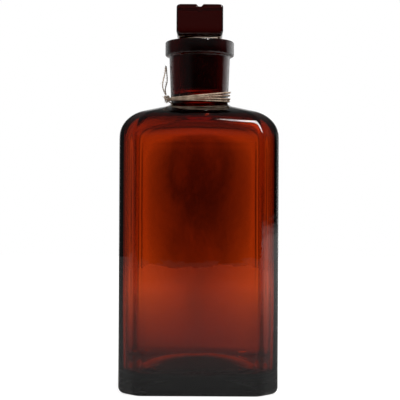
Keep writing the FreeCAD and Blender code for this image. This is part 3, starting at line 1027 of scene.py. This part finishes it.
def backlight_group():
    """Brightness of the studio in a direction, the same toward all four sides."""
    tree, given, made = new_group(
        "backlight",
        {"Direction": "Vector", "Middle": "Float", "Sides": "Float"},
        {"Light": "Float"})
    split = tree.nodes.new("ShaderNodeSeparateXYZ")
    tree.links.new(given["Direction"], split.inputs["Vector"])
    x, y, z = (split.outputs[label] for label in "XYZ")
    squares = arithmetic(tree, "ADD", arithmetic(tree, "MULTIPLY", x, x),
                         arithmetic(tree, "MULTIPLY", y, y))
    product = arithmetic(tree, "ABSOLUTE", arithmetic(tree, "MULTIPLY", x, y))
    aside = arithmetic(tree, "DIVIDE", product, squares)
    fallen = arithmetic(tree, "EXPONENT", arithmetic(tree, "DIVIDE", aside, -SIDE_WIDTH))
    spread = arithmetic(tree, "SUBTRACT", 1.0, fallen)
    climb = arithmetic(tree, "DIVIDE", z, arithmetic(tree, "SQRT", squares))
    off_level = arithmetic(tree, "ABSOLUTE", arithmetic(tree, "SUBTRACT", climb, LEVEL_CLIMB))
    off_share = arithmetic(tree, "DIVIDE", off_level, CLIMB_WIDTH)
    off_square = arithmetic(tree, "POWER", off_share, 2)
    lifted = arithmetic(tree, "MULTIPLY", off_square, CLIMB_GAIN)
    away = arithmetic(tree, "ADD", spread, lifted)
    by_side = ramp(tree, away, 0.0, 1.0, given["Middle"], given["Sides"])
    high = ramp(tree, climb, 0.12, 0.34, 1.0, 0.06, smooth=True)
    between = ramp(tree, aside, 0.16, 0.34, 1.0, 0.3, smooth=True)
    light = arithmetic(tree, "MULTIPLY", arithmetic(tree, "MULTIPLY", by_side, high), between)
    tree.links.new(light, made["Light"])
    return tree


backlight = backlight_group()
print("backlight group has", len(backlight.nodes), "nodes")

# %% [markdown]
# ## Studio and table
# The bottle stands on a pale table with a white wall behind it. The sides of the bottle
# also mirror the room in front, which is dark, with a window to the right. Light Path
# tells what kind of ray asks, so the wall can be white to the camera, and give other
# light to what the glass mirrors and to what it lets through. The table does the same, as
# painted light: a painted pool of window light on the right, and a painted shadow round
# the bottle. Its colour is darker towards the front, as painted shade where the wall's
# light doesn't reach. Real walls and windows of geometry would need far more samples to
# look as smooth.

# %% What the glass mirrors
world = bpy.data.worlds.new("studio")
bpy.context.scene.world = world
world.use_nodes = True
sky = world.node_tree
direction = sky.nodes.new("ShaderNodeTexCoord").outputs["Generated"]
sky_split = sky.nodes.new("ShaderNodeSeparateXYZ")
sky.links.new(direction, sky_split.inputs["Vector"])
sky_x, sky_y, sky_z = (sky_split.outputs[label] for label in "XYZ")
wall_behind = ramp(sky, sky_y, 0.35, 0.8, 0.0, 0.5, smooth=True)
window_back = ramp(sky, sky_y, 0.10, 0.40, 0.0, 0.8, smooth=True)
window_low = ramp(sky, sky_z, -0.035, -0.015, 1.0, 0.0, smooth=True)
window_side = ramp(sky, sky_x, 0.3, 0.6, smooth=True)
window = arithmetic(sky, "MULTIPLY", window_side,
                    arithmetic(sky, "MAXIMUM", window_back, window_low))
not_above = ramp(sky, sky_z, 0.14, 0.46, 1.0, 0.02, smooth=True)
lit_room = arithmetic(sky, "MULTIPLY", arithmetic(sky, "ADD", wall_behind, window), not_above)
ceiling = ramp(sky, sky_z, 0.02, 0.25, 0.01, 0.09, smooth=True)
left_wall = ramp(sky, sky_x, -0.3, -0.7, 0.0, 0.08, smooth=True)
dim_room = arithmetic(sky, "MAXIMUM", ceiling, left_wall)
mirrored = arithmetic(sky, "ADD", lit_room, dim_room)
print("the mirrored room has", len(sky.nodes), "nodes")

# %% What each kind of ray sees of the studio
through = place_group(sky, backlight, {"Middle": 0.12, "Sides": 1.0})
sky.links.new(direction, through.inputs["Direction"])
ray = sky.nodes.new("ShaderNodeLightPath").outputs
level = choose(sky, ray["Is Glossy Ray"], 0.7, mirrored)
level = choose(sky, ray["Is Transmission Ray"], level, through.outputs["Light"])
level = choose(sky, ray["Is Camera Ray"], level, 1.0)
background = sky.nodes["Background"]
background.inputs["Color"].default_value = (1, 1, 1, 1)
sky.links.new(level, background.inputs["Strength"])
print("the world has", len(sky.nodes), "nodes")

# %% The table
table_half = 1.12
table_corners = [(-table_half, -table_half, 0), (table_half, -table_half, 0),
                 (table_half, table_half, 0), (-table_half, table_half, 0)]
table_mesh = bpy.data.meshes.new("table")
table_mesh.from_pydata(table_corners, [], [(0, 1, 2, 3)])
table = bpy.data.objects.new("table", table_mesh)
bpy.context.scene.collection.objects.link(table)
print("table", 2 * table_half, "m across")

# %% The table's finish
# Painted shade: the near tone is darker, as if the wall's light didn't reach the front of the
# table.
NEAR_PAINTED_SHADE = (0.12, 0.116, 0.108)
FAR_LIT_TONE = (0.36, 0.355, 0.35)
table_finish, top, matt = new_material("pale table")
matt.inputs["Roughness"].default_value = 0.9
matt.inputs["Specular IOR Level"].default_value = 0.0
matt.inputs["Emission Strength"].default_value = 1.0
table_place, table_axis = object_place(top)
# Painted shade: the table's colour grows darker towards the front.
from_front = ramp(top, table_axis["Y"], -0.75, -0.05)
top.links.new(mix_tones(top, from_front, NEAR_PAINTED_SHADE, FAR_LIT_TONE), matt.inputs["Base Color"])
table_through = place_group(top, backlight, {"Middle": 0.30, "Sides": 0.95})
top.links.new(table_place, table_through.inputs["Direction"])
# Painted shadow: the light that the glass lets through from the table fades almost to nothing
# round the bottle.
bottle_painted_shadow = ramp(top, distance_from_zero(top, table_place), 0.12, 0.60, 0.06, 1.0)
behind = arithmetic(top, "MULTIPLY", table_through.outputs["Light"], bottle_painted_shadow)
# Painted light: in what the glass mirrors, the table glows towards the right as a pool of
# window light.
painted_window_light = ramp(top, table_axis["X"], 0.1, 0.7, 0.0, 0.6)
table_ray = top.nodes.new("ShaderNodeLightPath").outputs
glow = choose(top, table_ray["Is Glossy Ray"], 0.0, painted_window_light)
glow = choose(top, table_ray["Is Transmission Ray"], glow, behind)
glow = choose(top, table_ray["Is Camera Ray"], glow, 0.86)
top.links.new(glow, matt.inputs["Emission Color"])
give_finish(table, table_finish)
print("the table's finish has", len(top.nodes), "nodes")

# %% [markdown]
# ## Lamp and camera
# One soft lamp hangs above and in front, to the right. It makes the highlight on the
# shoulder: its length along the shoulder comes from the lamp's long side. A lamp of one
# point would give only a speck. The camera is level, half way up the bottle, with a long
# lens.

# %% Lamp
lamp_data = bpy.data.lights.new("soft box", "AREA")
lamp_data.shape = "RECTANGLE"
lamp_data.size = 0.20
lamp_data.size_y = 1.0
lamp_data.energy = 10
lamp = bpy.data.objects.new("soft box", lamp_data)
bpy.context.scene.collection.objects.link(lamp)
shoulder_spot = Vector((0.023, -0.02, 0.118))
lamp_way = Vector((0.30, -0.53, 0.79)).normalized()
lamp_distance = 1.0
lamp.location = shoulder_spot + lamp_way * lamp_distance
lamp.rotation_mode = "QUATERNION"
lamp.rotation_quaternion = lamp_way.to_track_quat("Z", "Y")
print("lamp at", tuple(round(c, 2) for c in lamp.location))

# %% Camera
camera_data = bpy.data.cameras.new("camera")
camera_data.sensor_width = 36
camera_data.lens = 97.2
camera_data.clip_start = 0.01
camera_data.clip_end = 100
camera = bpy.data.objects.new("camera", camera_data)
bpy.context.scene.collection.objects.link(camera)
camera_place = Matrix.Translation((0.0005, -0.4995, 0.085))
camera_level = Matrix.Rotation(math.radians(90), 4, "X")
camera_roll = Matrix.Rotation(math.radians(0.3), 4, "Z")
camera.matrix_world = camera_place @ camera_level @ camera_roll
bpy.context.scene.camera = camera
bpy.context.scene.view_settings.view_transform = "Standard"
print("camera at", tuple(round(c, 4) for c in camera.location))

# %% Update the scene
bpy.context.view_layer.update()
